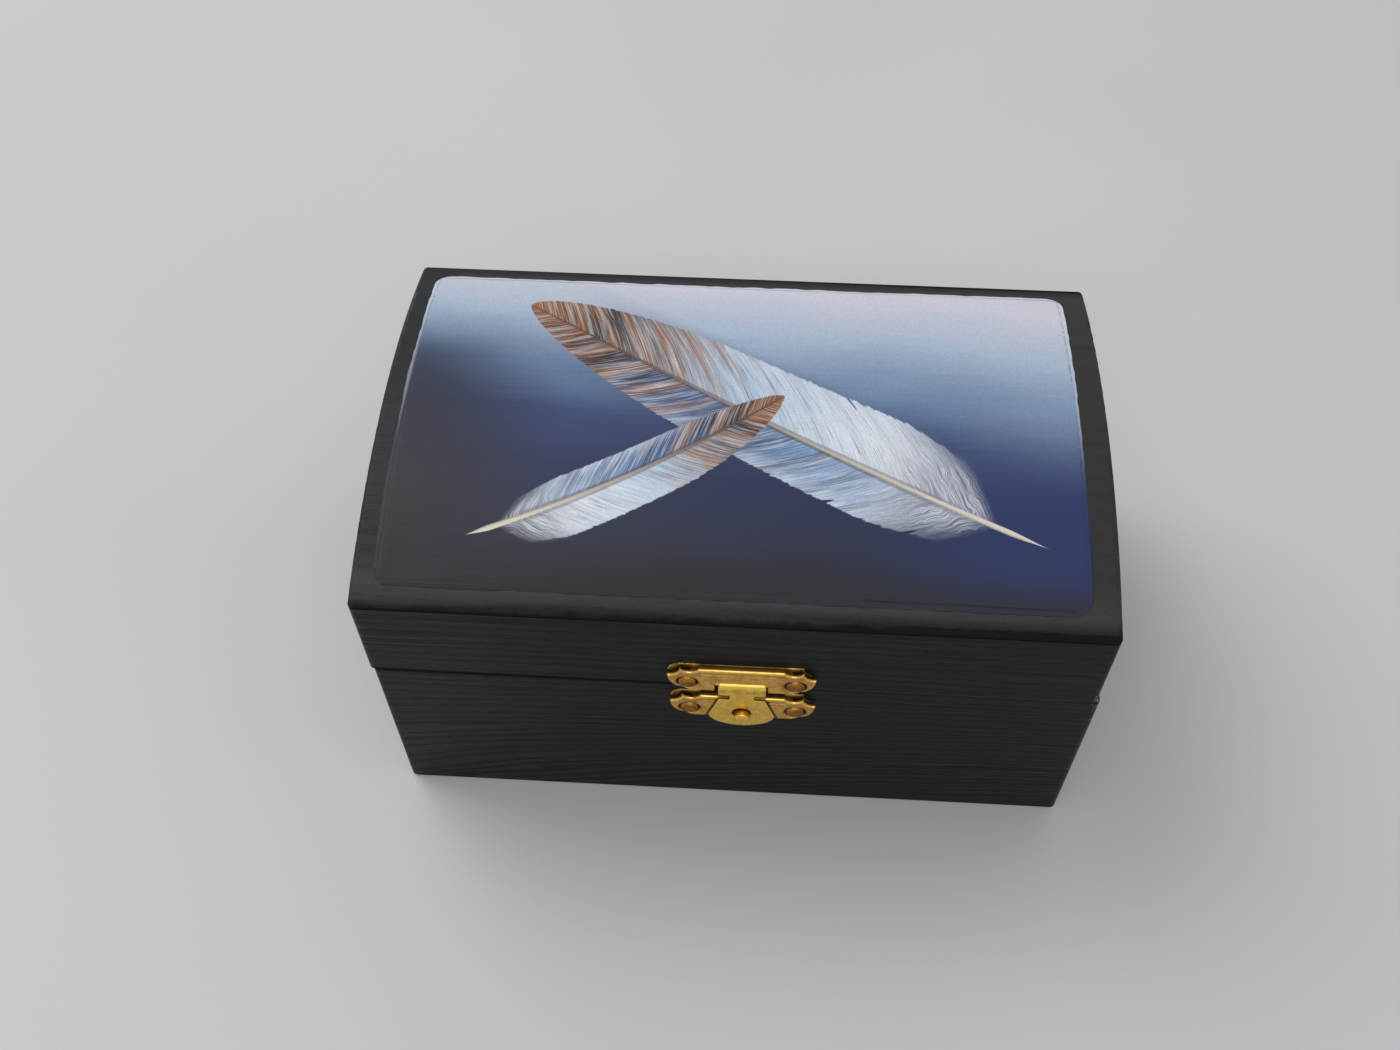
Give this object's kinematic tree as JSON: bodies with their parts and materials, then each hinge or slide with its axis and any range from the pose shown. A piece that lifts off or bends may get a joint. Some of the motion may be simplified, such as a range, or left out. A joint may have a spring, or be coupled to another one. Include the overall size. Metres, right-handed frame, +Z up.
{
  "type": "ditty box",
  "caption": "Small wooden keepsake box with a straight-sided base, a hinged barrel-topped lid that carries a paper print, and a pressed brass hasp that closes over a stud.",
  "frame": {"origin": "middle of the underside, on the surface that the box stands on", "axes": "+X to the right along the front, +Y to the back where the hinges are, +Z up; the latch faces -Y"},
  "size_m": [0.1527, 0.0987, 0.0841],
  "materials": {
    "painted_wood": "satin black paint over open grain",
    "painted_bottom": "satin black paint, bare inside",
    "print": "varnished paper",
    "plate_brass": "lightly tarnished",
    "hasp_brass": "satin",
    "stud_brass": "polished",
    "nail_brass": "tarnished brown",
    "hinge_brass": "satin"
  },
  "bodies": {
    "base": {"base_front": "painted_wood", "base_back": "painted_wood", "base_left_end": "painted_wood", "base_right_end": "painted_wood", "base_bottom": "painted_bottom", "lower_plate": "plate_brass", "catch_stud": "stud_brass", "lower_plate_nails": "nail_brass", "left_hinge_base_leaf": "hinge_brass", "left_hinge_pin": "hinge_brass", "right_hinge_base_leaf": "hinge_brass", "right_hinge_pin": "hinge_brass", "base_hinge_nails": "nail_brass"},
    "lid": {"lid_front": "painted_wood", "lid_back": "painted_wood", "lid_left_end": "painted_wood", "lid_right_end": "painted_wood", "lid_top": "painted_wood", "lid_print": "print", "upper_plate": "plate_brass", "hasp_pin": "hasp_brass", "upper_plate_nails": "nail_brass", "left_hinge_lid_leaf": "hinge_brass", "right_hinge_lid_leaf": "hinge_brass", "lid_hinge_nails": "nail_brass"},
    "hasp": {"hasp": "hasp_brass"}
  },
  "joints": [
    {"name": "lid_hinge", "type": "hinge", "parent": "base", "child": "lid", "pos_m": [0, 0.0476, 0.0515], "axis": [-1, 0, 0], "range_deg": [0, 180]},
    {"name": "hasp_hinge", "type": "hinge", "parent": "lid", "child": "hasp", "pos_m": [0.00195, -0.0471, 0.05377], "axis": [-1, 0, 0], "range_deg": [0, 95]}
  ]
}
